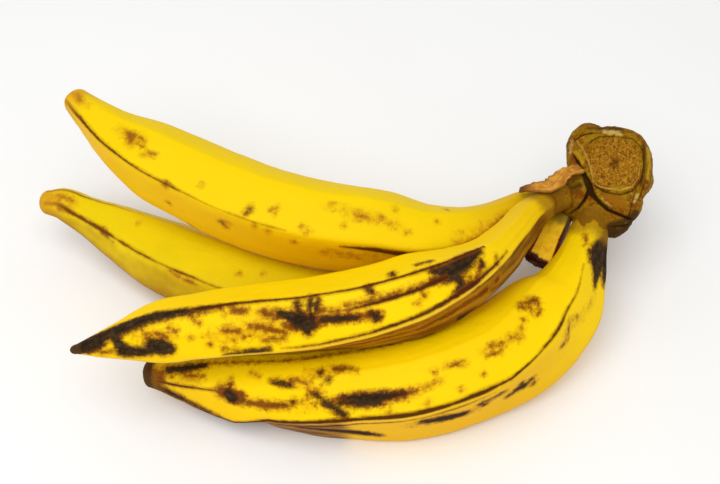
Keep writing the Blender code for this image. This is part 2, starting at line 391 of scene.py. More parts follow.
middleFruit = {
    "node": "plantain_middle", "slot": "bruised_skin", "seed": 14,
    "route": [
        (119, -9, 57, 15), (97, -29, 60, 16), (84, -49, 63.6, 18), (70, -68.5, 68, 22.5),
        (53, -83.5, 71, 30.5), (32, -94, 70.4, 37), (7, -100.5, 67.5, 37), (-24, -104, 64, 35.5),
        (-54, -105.5, 61.5, 34.5), (-82, -107.5, 59, 32), (-106, -109.5, 57, 28.2), (-124, -113, 55.5, 17.4),
        (-137, -115.6, 54.5, 11), (-147, -117.5, 54, 5),
    ],
    "flats": [
        (0.22, (-34, 20, 28, 66, 146, 240)), (0.33, (-33, 24, 34, 84, 154, 244)),
        (0.42, (-28, 28, 42, 98, 170, 250)), (0.59, (-26, 32, 58, 122, 188, 256)),
        (0.8, (-28, 32, 62, 128, 198, 260)), (0.88, (-24, 34, 74, 144, 204, 262)),
    ],
    "sharpness": 14, "dome": 1.4, "root": 27, "scar": 6, "blush": 4, "flare": -0.3, "rounding": 7,
    "golden": 0.25,
    "lines": [
        {"ridge": 0, "width": [
            (86, 0.4), (100, 0.6), (118, 0.7), (150, 0.55), (170, 0.5), (200, 0.6), (226, 0.9), (240, 1.1),
            (246, -1)]},
        {"ridge": 2, "shift": -1.9, "width": [
            (74, 0), (90, 0.7), (104, 1), (140, 0.7), (165, 0.4), (190, 0.2), (200, -0.6)]},
        {"ridge": 1, "shift": -3, "width": [(112, 0.8), (128, 1.1), (150, 0.8), (160, 0.4), (164, 0)]},
    ],
    # a pale line on the lower ridge: partly a painted highlight on its crest, partly scuffed skin
    "pale": {"ridge": 2, "shift": 0, "width": [(60, 0), (85, 0.6), (150, 0.8), (309, 1.1)]},
    # painted shade on the side below the lower ridge, with a painted contact shadow and bruising
    "underShadeAndBruise": {"ridge": 2, "width": [
        (14, 0.4), (24, 0.85), (60, 0.95), (80, 1.1), (220, 1.1), (260, 0.9), (290, 0.6)]},
    "char": [
        [(199, 24, 1.2), (193, 32, 2.4), (188, 42, 4), (184, 48, 3.4)],
        [(187, 46, 3), (185, 60, 1.6), (185, 64, 0.5)], [(189, 12, 0.7), (188, 38, 1.2)],
        [(182, 8, 0.9), (183, 24, 0.9), (182, 40, 1.6)], [(178, 10, 0.5), (180, 28, 0.7)],
        [(177, 43, 1.2), (168, 45, 1.5), (160, 48, 1)], [(153, 45, 0.9), (151, 52, 1.7), (151, 57, 0.8)],
        [(119, 4, 1.3), (112, 12, 3.2), (104, 8, 3.8), (97, 3, 2.8), (92, -1, 1.2)],
        [(111, 18, 3), (109, 34, 1.6), (109, 46, 1.2), (112, 52, 0.8)], [(120, 20, 1), (112, 22, 2.6)],
        [(106, 50, 0.9), (103, 56, 1)], [(152, 4, 1.1), (151, 11, 1)], [(138, -16, 0.7), (138, -10, 0.7)],
        [(124, -21, 0.5), (117, -21, 0.7)], [(283, 73, 3), (275, 79, 2.6), (268, 77, 1.4)],
        [(266, 63, 4), (261, 68, 4.4), (257, 72, 2.6)], [(286, 12, 2.4), (284, 37, 2), (283, 63, 2.8)],
        [(302, -6, 3.4), (292, -6, 3.8), (280, -4, 3.6), (268, 0, 3), (256, 3, 2.2), (244, 3, 1.4),
         (228, 4, 0.5)],
        [(298, -14, 3), (309, 0, 5)], [(294, 20, 3), (309, 30, 4)],
        [(228, 91, 0.6), (216, 89, 0.9), (206, 87, 0.7)], [(94, 19, 0.6), (95, 31, 0.7)],
    ],
    "brown": [
        [(192, 34, 4), (184, 44, 4.6), (176, 44, 2.4)],
        [(165, 25, 0.9), (144, 24, 1), (125, 21, 1), (116, 18, 1.6)],
        [(95, 23, 0.8), (98, 41, 1.2), (103, 52, 1.8), (116, 58, 1)], [(128, 28, 0.7), (127, 40, 0.8)],
        [(131, 48, 1)], [(178, 28, 1.6), (170, 32, 1.2), (162, 34, 1)],
        [(178, 40, 2), (160, 46, 2.2), (150, 50, 2)], [(243, 16, 1.2), (239, 28, 0.8)], [(251, 34, 0.6)],
        [(150, 16, 1.2), (146, 20, 0.9)], [(270, 33, 1), (268, 43, 1.2)], [(262, 39, 1), (258, 46, 1.4)],
        [(256, 28, 0.8), (252, 38, 0.8)], [(294, 34, 1.6), (300, 46, 2)], [(289, 70, 1.2), (294, 78, 1.2)],
        [(86, 50, 0.8), (84, 30, 0.5)], [(222, 12, 2.2), (216, 18, 1.6)], [(207, 22, 2), (200, 30, 1.8)],
        [(196, 46, 2.2), (190, 56, 1.4)], [(214, 44, 1.6), (204, 50, 2), (196, 60, 1.6)],
        [(228, 46, 1.2), (220, 50, 1.4)], [(223, 66, 1)], [(208, 70, 1.2), (198, 68, 1.4)], [(236, 70, 1.2)],
        [(229, 78, 1)], [(245, 54, 0.7)], [(97, 89, 3), (110, 88, 2.6), (128, 92, 2.2)], [(88, 85, 2.6)],
        [(206, 118, 1.6), (150, 102, 1.8), (112, 90, 1.8)],
    ],
    "stain": [
        [(238, 54, 3), (222, 52, 6), (205, 49, 7), (198, 66, 5)], [(226, 14, 3), (205, 24, 5)],
        [(108, 42, 4), (98, 33, 3)], [(275, 37, 4), (255, 44, 4)], [(181, 34, 3), (160, 38, 3)],
        [(110, 84, 6), (200, 120, 6)], [(130, 2, 2), (110, -2, 3)],
    ],
}

frontFruit = {
    "node": "plantain_front", "slot": "bruised_skin", "seed": 21,
    "route": [
        (136, -12, 49, 21), (126, -42, 42, 25), (120.6, -55, 37, 32), (112.6, -68, 31, 43.2),
        (100, -79.6, 28, 50.8), (84, -93.2, 27, 53.8), (57, -108.5, 27, 55.5), (27, -118.5, 25, 54),
        (-5, -121, 23, 49), (-35, -119.8, 22, 44.8), (-62, -115, 21.5, 39), (-81, -112.5, 21, 31),
        (-98, -110.5, 20, 22), (-113, -108.5, 20, 15),
    ],
    "flats": [
        (0.12, (-105, -65, -25, 45, 115, 180)), (0.4, (-52, -12, 25, 95, 172, 235)),
        (0.62, (-45, -5, 31, 103, 180, 242)), (0.7, (-41, -1, 47, 107, 184, 250)),
        (0.77, (-34, 6, 68, 115, 188, 260)), (0.84, (-27, 16, 76, 156, 214, 276)),
        (0.95, (-25, 18, 80, 166, 222, 280)),
    ],
    "sharpness": 13, "dome": 0.7, "root": 25, "scar": 7, "blush": 20, "flare": -0.45, "rounding": 12,
    "lines": [
        {"ridge": 2, "width": [
            (44, -0.4), (60, 0), (75, 0.25), (88, 0.7), (110, 0.5), (128, 0.7), (136, 1.3), (148, 0.9),
            (165, 1.3), (190, 1.1), (225, 1), (305, 0.9)]},
        {"ridge": 1, "shift": 3, "width": [(262, -0.2), (270, 0.4), (285, 0.6), (297, 0.8), (305, 0.8)]},
        {"ridge": 2, "shift": 4.4, "width": [
            (130, -0.8), (150, 0.3), (166, -0.3), (186, 0.2), (215, 0.7), (240, 0.3)]},
    ],
    # a pale line beside the lower ridge: partly a painted highlight, partly scuffed skin
    "pale": {"ridge": 2, "shift": 2.4, "width": [
        (100, -0.4), (140, 0.4), (165, 0.9), (215, 0.9), (240, 0.2)]},
    "underShadeAndBruise": {"ridge": 2, "width": [(192, 0), (206, 0.85), (240, 0.9), (305, 0.6)]},
    "char": [
        [(16, 76, 2), (23, 75, 4.2)], [(260, 58, 2.6), (258, 64, 3.6)], [(259, 42, 0.4), (259, 54, 1.4)],
        [(236, 28, 0.3), (231, 30, 1), (226, 31, 0.5)], [(215, 40, 0.8), (208, 54, 1.1), (200, 66, 1.4)],
        [(201, 45, 1), (190, 46, 2.4), (180, 45, 1.8), (171, 44, 0.7)],
        [(203, 51, 0.6), (194, 52, 1.4), (182, 51, 0.7)], [(212, 13, 0.9)], [(208, 22, 0.8)],
        [(225, 53, 0.6)], [(118, 87, 1.4), (114, 89, 1.2)], [(123, 93, 0.6), (116, 89, 0.8), (110, 84, 0.5)],
        [(116, 80, 0.5), (115, 90, 0.8)], [(109, 94, 0.6)], [(164, 82, 1.6), (156, 86, 3), (146, 92, 2.2)],
        [(222, 101, 1.2), (208, 104, 2.4), (190, 112, 2.4), (184, 116, 1.2)],
        [(138, 80, 0.7), (136, 87, 0.9)], [(135, 80, 0.3), (126, 78, 0.5)],
        [(25, 64, 2.4), (30, 54, 4.4), (35, 46, 5.6), (40, 48, 4.8), (45, 52, 2.6), (51, 55, 0.6)],
        [(28, 74, 3.6), (36, 74, 4), (42, 78, 2.2), (47, 80, 0.6)], [(36, 22, 1.2), (41, 26, 0.4)],
        [(300, 60, 1.4), (305, 76, 3)], [(303, 100, 2.2), (285, 112, 1), (264, 118, 0.5)],
        # painted shadow along the top edge of the tip, under the middle fruit, among the marks
        [(296, 20, 1.4), (284, 15, 1.8), (274, 12, 0.6)],
    ],
    "brown": [
        [(96, -8, 1.2), (91, -4, 2.4), (87, -1, 2.6)], [(98, -4, 1.4), (93, 3, 1.2)], [(102, 12, 1.1)],
        [(94, 16, 0.8), (90, 12, 1)], [(96, 10, 0.7), (88, 6, 0.9)],
        # painted contact shadow along the top, under the middle fruit's lower ridge
        [(277, 9, 0.8), (250, 3, 0.7), (223, -8, 0.9), (199, -19, 0.9), (168, -21, 0.6)],
        [(263, 56, 4.6), (253, 62, 5)], [(248, 67, 2.2), (238, 65, 2.8), (228, 60, 2)],
        [(205, 47, 1.6), (186, 47, 2.8), (166, 43, 1.8)], [(163, 42, 0.9), (154, 39, 0.6)],
        [(126, 22, 1.2), (120, 25, 1.6)], [(129, 29, 0.9), (123, 31, 1)], [(115, 22, 1.2), (110, 26, 1)],
        [(106, 18, 0.8)], [(148, 25, 0.8), (141, 28, 1.2)], [(155, 28, 0.9)], [(82, 50, 1), (84, 58, 1)],
        [(80, 44, 0.8)], [(88, 62, 1.2), (91, 66, 1.2)], [(86, 66, 1)], [(300, 44, 3), (305, 60, 8)],
        [(285, 34, 1), (275, 34, 1.2)], [(72, 50, 0.5), (78, 44, 0.6)], [(217, 38, 1), (212, 40, 0.9)],
        [(204, 8, 2.2), (198, 8, 1.6), (193, 12, 0.7)], [(218, 46, 1)], [(221, 51, 0.8)],
        [(28, -2, 1.4), (32, 6, 1)], [(259, 34, 0.8), (258, 44, 1.4)], [(248, 22, 0.8), (244, 24, 0.5)],
        [(226, 24, 1.2), (218, 28, 1.2)], [(134, 46, 0.6)], [(146, 52, 0.6)], [(276, 20, 0.8)],
        [(272, 8, 0.8), (256, 4, 1)], [(178, 60, 0.6)], [(162, 56, 0.7)],
    ],
    "stain": [
        [(130, 25, 3), (109, 24, 4)], [(95, -4, 3), (87, 0, 4)], [(248, 65, 3.6), (166, 47, 3)],
        [(295, 46, 8), (280, 44, 4)], [(260, 50, 4), (251, 60, 4)], [(203, 9, 4), (218, 14, 4)],
        [(170, 88, 4), (140, 92, 4)], [(226, 28, 3), (211, 34, 3)], [(86, 52, 3), (58, 60, 3)],
    ],
}

hiddenBruises = {
    "count": 16, "share": (0.12, 0.97), "angle": (115, 300),    # on the sides turned away
    "size": 4.0, "drift": 4.0, "turn": 9, "startWidth": 0.7, "endWidth": 0.35,
}


def hiddenMarks(fruit, length):
    # so that the fruit is as worn all the way round
    rng = random.Random(fruit["seed"])
    strokes = []
    for _ in range(hiddenBruises["count"]):
        along = rng.uniform(*hiddenBruises["share"]) * length
        angle = rng.uniform(*hiddenBruises["angle"])
        size = rng.uniform(0.5, 1.0) ** 3 * hiddenBruises["size"]
        drift = rng.uniform(-1.0, 1.0) * size * hiddenBruises["drift"]
        turned = angle + rng.uniform(-hiddenBruises["turn"], hiddenBruises["turn"])
        strokes.append([(along, angle, size * hiddenBruises["startWidth"]),
                        (along + drift, turned, size * hiddenBruises["endWidth"])])
    return strokes


def curveAt(points, where):
    # a value from (place, value) pairs, eased between them
    if where < points[0][0] or where > points[-1][0]:
        return skin["noMark"]
    for (start, before), (end, after) in zip(points, points[1:]):
        if where <= end:
            return before + (after - before) * ease(where, start, end)
    return points[-1][1]


def besideRidge(line, along, angle, ridges, girth):
    # depth inside a line that runs along a ridge, in mm
    turn = turnBetween(angle, ridges[line["ridge"]])
    if abs(turn) >= skin["lineTurn"]:
        return skin["noMark"]
    return curveAt(line["width"], along) - abs(turn * girth - line["shift"])


def belowRidge(side, along, angle, ridges, girth):
    # 1 on the side below a ridge, fading out further down; painted shade and bruising go there
    turn = turnBetween(angle, ridges[side["ridge"]])
    return max(0.0, curveAt(side["width"], along)) * ease(turn * girth, 0.4, 2.2) * ease(turn, 110, 70)


def fruitStations(fruit):
    # the stations of the finished mesh, with the rounded tip added
    stations = smoothStations(fruit["route"], skin["step"])
    last = stations[-1].copy()
    heading = (last - stations[-2]).to_3d().normalized()
    for k in range(1, skin["domeSteps"] + 1):
        turn = 0.5 * pi * k / skin["domeSteps"]
        out = last.to_3d() + heading * sin(turn) * fruit["dome"] * last.w / 2
        stations.append(Vector((*out, last.w * cos(turn))))
    return stations


def makeFruit(fruit, material):
    fruit = {**usualFruit, **fruit}
    stations = fruitStations(fruit)
    run = distances(stations)
    length = run[-1]
    columns = skin["columns"]
    marks = {name: strokeSpans(fruit[name]) for name in ("char", "brown", "stain")}
    marks["char"] += strokeSpans(hiddenMarks(fruit, length))
    bm = bmesh.new()
    bm.loops.layers.uv.new("UVMap")
    bmesh.ops.create_grid(bm, x_segments=columns, y_segments=len(stations) - 1, size=1.0, calc_uvs=True)
    layers = newLayers(bm, (*marks, "root", "tip", "blush", "shade", "green", "golden", "pale", "underShadeAndBruise"),
                       ("straight", "lineSide", "lineWidth"))
    bm.verts.ensure_lookup_table()
    drift = Vector((fruit["seed"] * 7.0, 0, 0))
    coreCount = len(stations) - skin["domeSteps"]
    for i, (station, along) in enumerate(zip(stations, run)):
        heading, up, front = facing(stations, i)
        share = min(1.0, i / (coreCount - 1))
        atRoot, atTip = min(1.0, share / skin["neckShare"]), min(1.0, (1.0 - share) / skin["tipShare"])
        crisp = ease(atRoot * atTip, 0.0, 1.0)
        sharpness = skin["neckSharpness"] + (fruit["sharpness"] - skin["neckSharpness"]) * crisp
        flats = flatsAt(fruit["flats"], share)
        ridges = ridgesOf(flats)
        widths = [curveAt(line["width"], along) for line in fruit["lines"]]
        flare = 1.0 + fruit["flare"] * exp(-(along / skin["flareRun"]) ** 2)
        for k, angle in enumerate(ringAngles(flats, columns)):
            vert = bm.verts[i * (columns + 1) + k]
            radius = ringRadius(station, angle, flats, sharpness) * flare
            out = up * cos(radians(angle)) + front * sin(radians(angle))
            point = station.to_3d() + out * radius
            lump = sum(noise.noise(point * fine + drift) * height for fine, height in skin["waves"])
            nearest = min(abs(turnBetween(angle, ridge)) for ridge in ridges)
            keel = exp(-(nearest * radians(1.0) * radius / skin["keelWidth"]) ** 2) * crisp * skin["keel"]
            point += out * min(1.0, radius / 6.0) * (lump + keel)
            vert.co = placed(*point)
            vert.co.z = max(vert.co.z, 0.0)
            vert[layers["straight"]] = straightened(along, radius, angle)
            for name, spans in marks.items():
                vert[layers[name]] = depthInside(spans, along, angle, radius)
            vert[layers["root"]] = fruit["root"] - along
            vert[layers["tip"]] = fruit["scar"] - (length - along)
            vert[layers["blush"]] = 1.0 - (length - along) / fruit["blush"]
            golden = ease(along, fruit["root"] + skin["goldenRun"], fruit["root"])
            vert[layers["golden"]] = fruit["golden"] * golden
            vert[layers["green"]] = fruit["green"] + skin["greenNeck"] * ease(along, *skin["greenRun"])
            girth = radians(1.0) * radius
            turns = [turnBetween(angle, ridges[line["ridge"]]) for line in fruit["lines"]]
            sides = [turn * girth - line.get("shift", 0.0) for turn, line in zip(turns, fruit["lines"])]
            near = [abs(turn) < skin["lineTurn"] for turn in turns]
            halves = [width if shown else skin["noMark"] for width, shown in zip(widths, near)]
            vert[layers["lineSide"]] = Vector((sides + [9.0] * 3)[:3])
            vert[layers["lineWidth"]] = Vector((halves + [skin["noMark"]] * 3)[:3])
            place = (along, angle, ridges, girth)
            vert[layers["pale"]] = besideRidge(fruit["pale"], *place) if fruit["pale"] else skin["noMark"]
            vert[layers["underShadeAndBruise"]] = belowRidge(fruit["underShadeAndBruise"], *place) if fruit["underShadeAndBruise"] else 0.0
    bmesh.ops.remove_doubles(bm, verts=bm.verts, dist=1e-6)
    bmesh.ops.recalc_face_normals(bm, faces=bm.faces)
    bm.normal_update()
    for vert in bm.verts:
        # painted shade: skin that faces down takes the deep colour
        vert[layers["shade"]] = ease(vert.normal.z, *skin["shadeSlope"])
    toPiece(bm, fruit, material)


# skin looks; deep is the painted shade of the lower sides, also shown in deeper patches
yellowLook = {
    "bright": "F4CE00", "deep": "F2BE04", "green": "B9B004", "greenness": 0.3, "ochre": "C07C08",
    "brown": "7A4408", "rust": "9C5C0A", "underShadeAndBruise": "5C2204", "stripe": "A06C14", "char": "20150A",
    "ash": "4E3C24", "line": "5A2C06", "pale": "F2C43A", "tip": "5A3A14", "tipBlush": "D4961C",
    "neck": "9C6E0C", "crown": "6A4006",
    "freckles": -0.15, "stipple": 0.5, "roughness": 0.5, "bump": 0.6, "gloss": 0.07,
}
greenLook = dict(yellowLook, bright="F8D802", deep="B08204", green="BCAE08", greenness=0.6, line="6A3C06")
bruisedLook = dict(yellowLook, bright="FFD400", deep="F4BC04", brown="562804", rust="864404", stipple=0.95,
                   freckles=-0.02, line="4A2006", tip="4A2E12", tipBlush="A86E14")


def skinMaterial(name, look):
    # clear yellow, deeper on its lower sides as painted shade, with darkened ridges, bruises and dried ends
    material, pen, place = newMaterial(name)
    streaky = pen.attribute("straight", "Vector").scaled(0.16, 1.0, 1.0)
    patches = place.cloud(38.0, 2.0)
    mottle = place.cloud(7.0, 4.0, 0.55)
    grain = place.cloud(0.9, 3.0, 0.6)
    rough = place.cloud(2.6, 6.0, 0.68)
    streaks = streaky.cloud(2.6, 4.0, 0.6)

    # painted shade: lower sides turn deep and lose their green
    shade = pen.attribute("shade")
    paintedShadeAndTone = (shade * 1.1 + patches * 0.3 + mottle * 0.12 - 0.05).rise(0.0, 1.0)
    green = (pen.attribute("green") + patches * 0.3 + streaks * 0.08 - shade * 1.1 + 0.1).rise(0.1, 1.1)
    freckle = (streaks * 0.6 + rough * 0.5 + look["freckles"]).rise(0.3, 0.7)
    # painted shade and bruising on the side below a ridge, in bands
    underShadeAndBruise = (pen.attribute("underShadeAndBruise") + mottle * 0.25 + streaks * 0.3).rise(0.1, 0.8)
    banded = (streaky.cloud(4.6, 2.0) * 1.5 + 0.42).rise(0.0, 1.0).between(look["underShadeAndBruise"], look["stripe"])

    stain = (pen.attribute("stain") + mottle * 3.0 + rough * 3.0).rise(-2.0, 4.0)
    blotch = place.cloud(4.6, 5.0, 0.66) + rough * 0.25
    # brown marks; a few strokes are painted shadows along edges where the fruits touch
    brown = pen.attribute("brown") + rough * 3.4 + streaks * 1.2
    brownTone = (rough * 1.8 - streaks * 0.8 + 0.45).rise(0.0, 1.0).between(look["brown"], look["rust"])
    # char marks; one stroke is a painted shadow along the front fruit's tip
    char = pen.attribute("char") + rough * 2.6 + streaks * 1.2
    charMask = char.rise(-0.6, 1.0)
    charTone = (streaks * 0.7 + rough * 0.9 + 0.3).rise(0.0, 1.0).between(look["char"], look["ash"])

    # ridge lines: the blackened ridges, and on the top fruit one painted crease shadow
    side = pen.attribute("lineSide", "Vector")
    width = pen.attribute("lineWidth", "Vector")
    depths = [width.part(axis) - abs(side.part(axis) + streaks * 0.6) + rough * 0.7 + streaks * 0.5
              for axis in range(3)]
    ridgeLineAndCreaseShade = depths[0].higher(depths[1]).higher(depths[2]).rise(-0.5, 0.55)
    # pale line: partly a painted highlight on a ridge crest, partly scuffed skin
    pale = (pen.attribute("pale") + streaks * 0.4).rise(-0.3, 0.6)
    blush = (pen.attribute("blush") + mottle * 0.25 + streaks * 0.3).rise(0.0, 1.1)
    tipMask = (pen.attribute("tip") + rough * 2.4 + streaks * 1.6).rise(-1.2, 1.5)
    tipTone = (streaks + rough * 0.6 + 0.4).rise(0.0, 1.0).between(look["tip"], look["ash"])
    root = pen.attribute("root") + mottle * 4.0 + streaks * 2.0

    colour = coated(paintedShadeAndTone.between(look["bright"], look["deep"]), look, (
        (green, look["greenness"], "green"), (freckle, 0.4, "ochre"), (pen.attribute("golden"), 1.0, "ochre"),
        (underShadeAndBruise, 0.92, banded),
        (stain * (blotch.rise(-0.25, 0.25) * 0.4 + 0.15), 1.0, "ochre"),
        (stain * blotch.rise(0.08, 0.42), look["stipple"], "rust"),
        (stain * blotch.rise(0.38, 0.6), look["stipple"] * 0.8, "brown"),
        (brown.rise(-3.0, 0.6), 0.6, "ochre"), (brown.rise(-1.0, 1.8), 0.92, brownTone),
        (char.rise(-3.6, -0.6), 0.55, "rust"), (char.rise(-1.9, 0.2), 0.85, "brown"),
        (charMask, 0.95, charTone), *((depth.rise(-1.7, 0.2), 0.6, "rust") for depth in depths),
        (pale, 0.8, "pale"), (ridgeLineAndCreaseShade, 0.95, "line"),
        (blush, 0.8, "tipBlush"), (tipMask, 0.95, tipTone),
        (root.rise(-5.0, 3.0), 0.8, "neck"), (root.rise(5.0, 13.0), 0.95, "crown")))

    dry = charMask.higher(tipMask).higher(root.rise(0.0, 6.0)).higher(ridgeLineAndCreaseShade * 0.6)
    height = (mottle * 0.3 + grain * 0.04 + streaks * 0.14 + dry * (rough * 0.08 + grain * 0.03 - 0.15)
              - brown.rise(-0.5, 2.0) * 0.12 - ridgeLineAndCreaseShade * 0.15)
    finishShader(pen, look, colour, dry * 0.25 + mottle * 0.06, height)
    return material


# Crown: a squarish knob with the sawn end of the stalk, layered round with old sheaths

crown = {
    "node": "crown", "slot": "crown_skin",
    "cutCentre": (146.6, -2, 73), "cutFacing": (0, -0.52, 0.854),
    "cutReach": 13.6, "cutShift": (1.5, -0.2), "corners": 3.1,
    "profile": [(0, 0), (14, 0), (16, -1.5), (19.8, -6), (23, -13), (24, -24), (22, -35), (14, -43),
                (0, -46)],
    "turns": 64, "stretch": 1.07, "voxel": 0.6, "smoothing": 4,
    "squareFrom": -20.0, "squareTo": -3.0,         # mm above the cut, between which the knob turns square
    # centre, half sizes and turn in degrees
    "lumps": [((129.2, 11, 59), (8, 13, 9.5), 12), ((153.5, 4, 52), (18.5, 12, 14), 0),
              ((134.5, 20.5, 60), (13, 15, 17), 10), ((131, -5, 49), (18, 16, 15), 35),
              ((145, -10, 50.5), (18.5, 18, 14.5), -8), ((146, -15, 47), (13, 17, 15), -10)],
    "sleeveStep": 2.0, "sleeveColumns": 24, "sleevePast": 2.0,      # mm, and mm past the end of a root
    "neckAway": (5.0, 1.5), "neckAlong": (2.0, 14.0),               # mm in which the neck's colour comes in
    "rings": [5, 10, 17, 26, 36],                  # mm below the cut, where one sheath ends over the next
    "ringWidth": 0.6, "ringDepth": 0.6, "creaseDepth": 2.0, "lipHeight": 0.6,      # mm
    "unevenness": 0.8, "fibreHeight": 0.3, "cutRoughness": 0.5, "cutDepth": 0.4,   # mm
    "heartDepth": 0.9, "heartSize": 3.0,           # mm, the dip in the middle of the cut
    # Strokes below are (across, up, half width) in mm, laid over the crown from this direction.
    "seenFrom": (0, -0.643, 0.766), "strokeShift": 1.2,
    # creases are carved in, and painted near black inside as shade
    "creases": [[(129.7, 30, 1.7), (133.1, 24.3, 1.2), (138.8, 18.6, 1), (145.6, 15.8, 0.9),
                 (152.4, 13.5, 0.7), (155.9, 12.9, 0.3)],
                [(121.7, 52.7, 0.3), (123.4, 47, 0.7), (125.7, 40.2, 1.2), (128.6, 33.4, 1.5),
                 (130.3, 30, 1.3)],
                [(129.7, 30, 1.4), (126.8, 24.3, 0.9), (123.4, 19.7, 0.7), (119.5, 16.3, 0.3)],
                [(131.4, 32.3, 0.4), (136.5, 29.2, 0.4), (145.6, 27.4, 0.4), (153.8, 29, 0.4),
                 (158.9, 35.5, 0.4), (161, 44.2, 0.3), (160.4, 52.7, 0.3), (155.3, 59.8, 0.4),
                 (145.6, 61.4, 0.4), (135.4, 61.2, 0.4), (129.7, 57.4, 0.4)],
                [(157, 32.3, 0.2), (153.6, 21.4, 0.4), (151.3, 14.1, 0.2)],
                [(163, 57.4, 0.3), (164.2, 47, 0.4), (162.5, 35.7, 0.4), (158.3, 24.3, 0.3)],
                [(142.2, 8.4, 0.4), (150.7, 9.5, 0.5), (157, 12.9, 0.2)],
                [(121.7, 58.4, 0.2), (126.8, 62, 0.5), (133.1, 63.6, 0.5), (138.8, 63, 0.2)]],
    "lips": [[(124.6, 59.6, 0.3), (127.4, 52.7, 0.5), (129.7, 44.2, 0.6), (131.1, 36.8, 0.5),
              (132, 31.1, 0.2)],
             [(131.4, 35.7, 0.2), (133.7, 32.3, 0.5), (138.8, 30.8, 0.6), (146.2, 29.7, 0.6),
              (153, 31.7, 0.6), (156.7, 36.8, 0.4), (158.1, 44.2, 0.2)]],
    "pale": [[(139.4, 63.9, 1.2), (147.5, 62.9, 1.4)], [(163.2, 54, 0.5), (164, 47, 0.8)],
             [(157, 27.1, 1), (155, 23, 0.5)], [(121.2, 52.7, 0.5), (122.3, 59.6, 0.5)],
             [(136, 24.4, 0.4), (141, 20.4, 0.3)], [(149.5, 11.4, 0.1)]],
    "gold": [[(163.6, 52.7, 1.8), (164.2, 44, 2.4), (163, 37, 1.4)], [(124.6, 52, 1.6), (125.8, 46, 1)]],
    "warm": [[(138.2, 26, 2), (143.9, 23.7, 2.8), (149, 19.7, 1.6)], [(123.4, 55, 2.5)],
             [(124, 44, 1.5), (121, 40, 2)]],
    # painted shadows where the crown lies in shade, at its foot and along its edges
    "paintedShadow": [[(143.3, 7.2, 5), (150.2, 9, 5.5), (156, 15.8, 3)], [(120, 31.4, 0.5), (124, 33, 1.6)],
             [(160.5, 55, 0.8), (161.5, 44, 0.9), (158.6, 33, 0.8)], [(131, 66, 1), (150, 65.5, 1)]],
}

# each tint: its share of mottle and of fibres, the depths at which it fades in, and its strength
crownTints = {"warm": (1.8, 0.8, -1.2, 1.4, 0.85), "gold": (1.8, 0.8, -1.0, 1.2, 0.85),
              "paintedShadow": (2.2, 1.2, -1.4, 1.4, 0.85), "pale": (1.6, 0.8, -0.7, 1.0, 0.75)}

# its two blackest colours are painted shade: shadows on the crown and the insides of its creases
crownLook = {
    "olive": "A07A0C", "brown": "784006", "pale": "D8BC68", "warm": "96600A", "gold": "BC9414",
    "paintedShadow": "34200A", "crease": "241004", "cut": "BC8218", "cutDark": "562E06", "cutPale": "E0AE48",
    "lip": "C49C44", "neck": "82560A",
    "roughness": 0.75, "bump": 0.8, "gloss": 0.05,
}


def cutPlane():
    turned = Vector(crown["cutFacing"]).to_track_quat("Z", "Y").to_matrix().to_4x4()
    return Matrix.Translation(Vector(crown["cutCentre"])) @ turned


def squareness(x, y):
    # how far a rounded square stands out past its sides in a direction
    angle = atan2(y, x)
    power = crown["corners"]
    return (abs(cos(angle)) ** power + abs(sin(angle)) ** power) ** (-1.0 / power)


def addKnob(bm):
    # turned about the axis of the cut, then squared towards the cut
    points = [bm.verts.new((radius, 0, depth)) for radius, depth in crown["profile"]]
    edges = [bm.edges.new((a, b)) for a, b in zip(points, points[1:])]
    bmesh.ops.spin(bm, geom=points + edges, axis=(0, 0, 1), cent=(0, 0, 0), angle=2 * pi,
                   steps=crown["turns"], use_merge=True)
    bmesh.ops.remove_doubles(bm, verts=bm.verts, dist=0.001)
    for vert in bm.verts:
        square = ease(vert.co.z, crown["squareFrom"], crown["squareTo"])
        spread = 1.0 + (squareness(vert.co.x, vert.co.y) - 1.0) * square
        vert.co.x *= spread
        vert.co.y *= spread * crown["stretch"]
    bmesh.ops.transform(bm, matrix=cutPlane(), verts=bm.verts)


def addLump(bm, centre, halfSizes, turn):
    made = bmesh.ops.create_icosphere(bm, subdivisions=4, radius=1.0)
    size = Matrix.Diagonal((*halfSizes, 1.0))
    matrix = Matrix.Translation(centre) @ Matrix.Rotation(radians(turn), 4, "Z") @ size
    bmesh.ops.transform(bm, matrix=matrix, verts=made["verts"])


def addSleeve(bm, fruit):
    # the crown's own tissue running out along a neck, thinning to nothing
    fruit = {**usualFruit, **fruit}
    columns = crown["sleeveColumns"]
    stations = smoothStations(fruit["route"], crown["sleeveStep"])
    reach = fruit["root"] + crown["sleevePast"]
    stations = [station for station, along in zip(stations, distances(stations)) if along < reach]
    count = len(stations)
    made = bmesh.ops.create_grid(bm, x_segments=columns, y_segments=count + 1, size=1.0)["verts"]
    for i in range(count + 2):
        k = min(max(i - 1, 0), count - 1)
        heading, up, front = facing(stations, k)
        flats = flatsAt(fruit["flats"], 0.0)
        swelling = fruit["sleeve"] * (1.0 - k / (count - 1)) - k / (count - 1)
        begun = min(1.0, (crown["sleeveStep"] * k + 1.0) / fruit["rounding"])
        rounding = sqrt(1.0 - (1.0 - begun) ** 2) if 0 < i < count + 1 else 0.0
        for j in range(columns + 1):
            angle = 360.0 / columns * j
            radius = (ringRadius(stations[k], angle, flats, skin["neckSharpness"]) + swelling) * rounding
            out = up * cos(radians(angle)) + front * sin(radians(angle))
            made[i * (columns + 1) + j].co = stations[k].to_3d() + out * radius
    bmesh.ops.remove_doubles(bm, verts=made, dist=0.001)


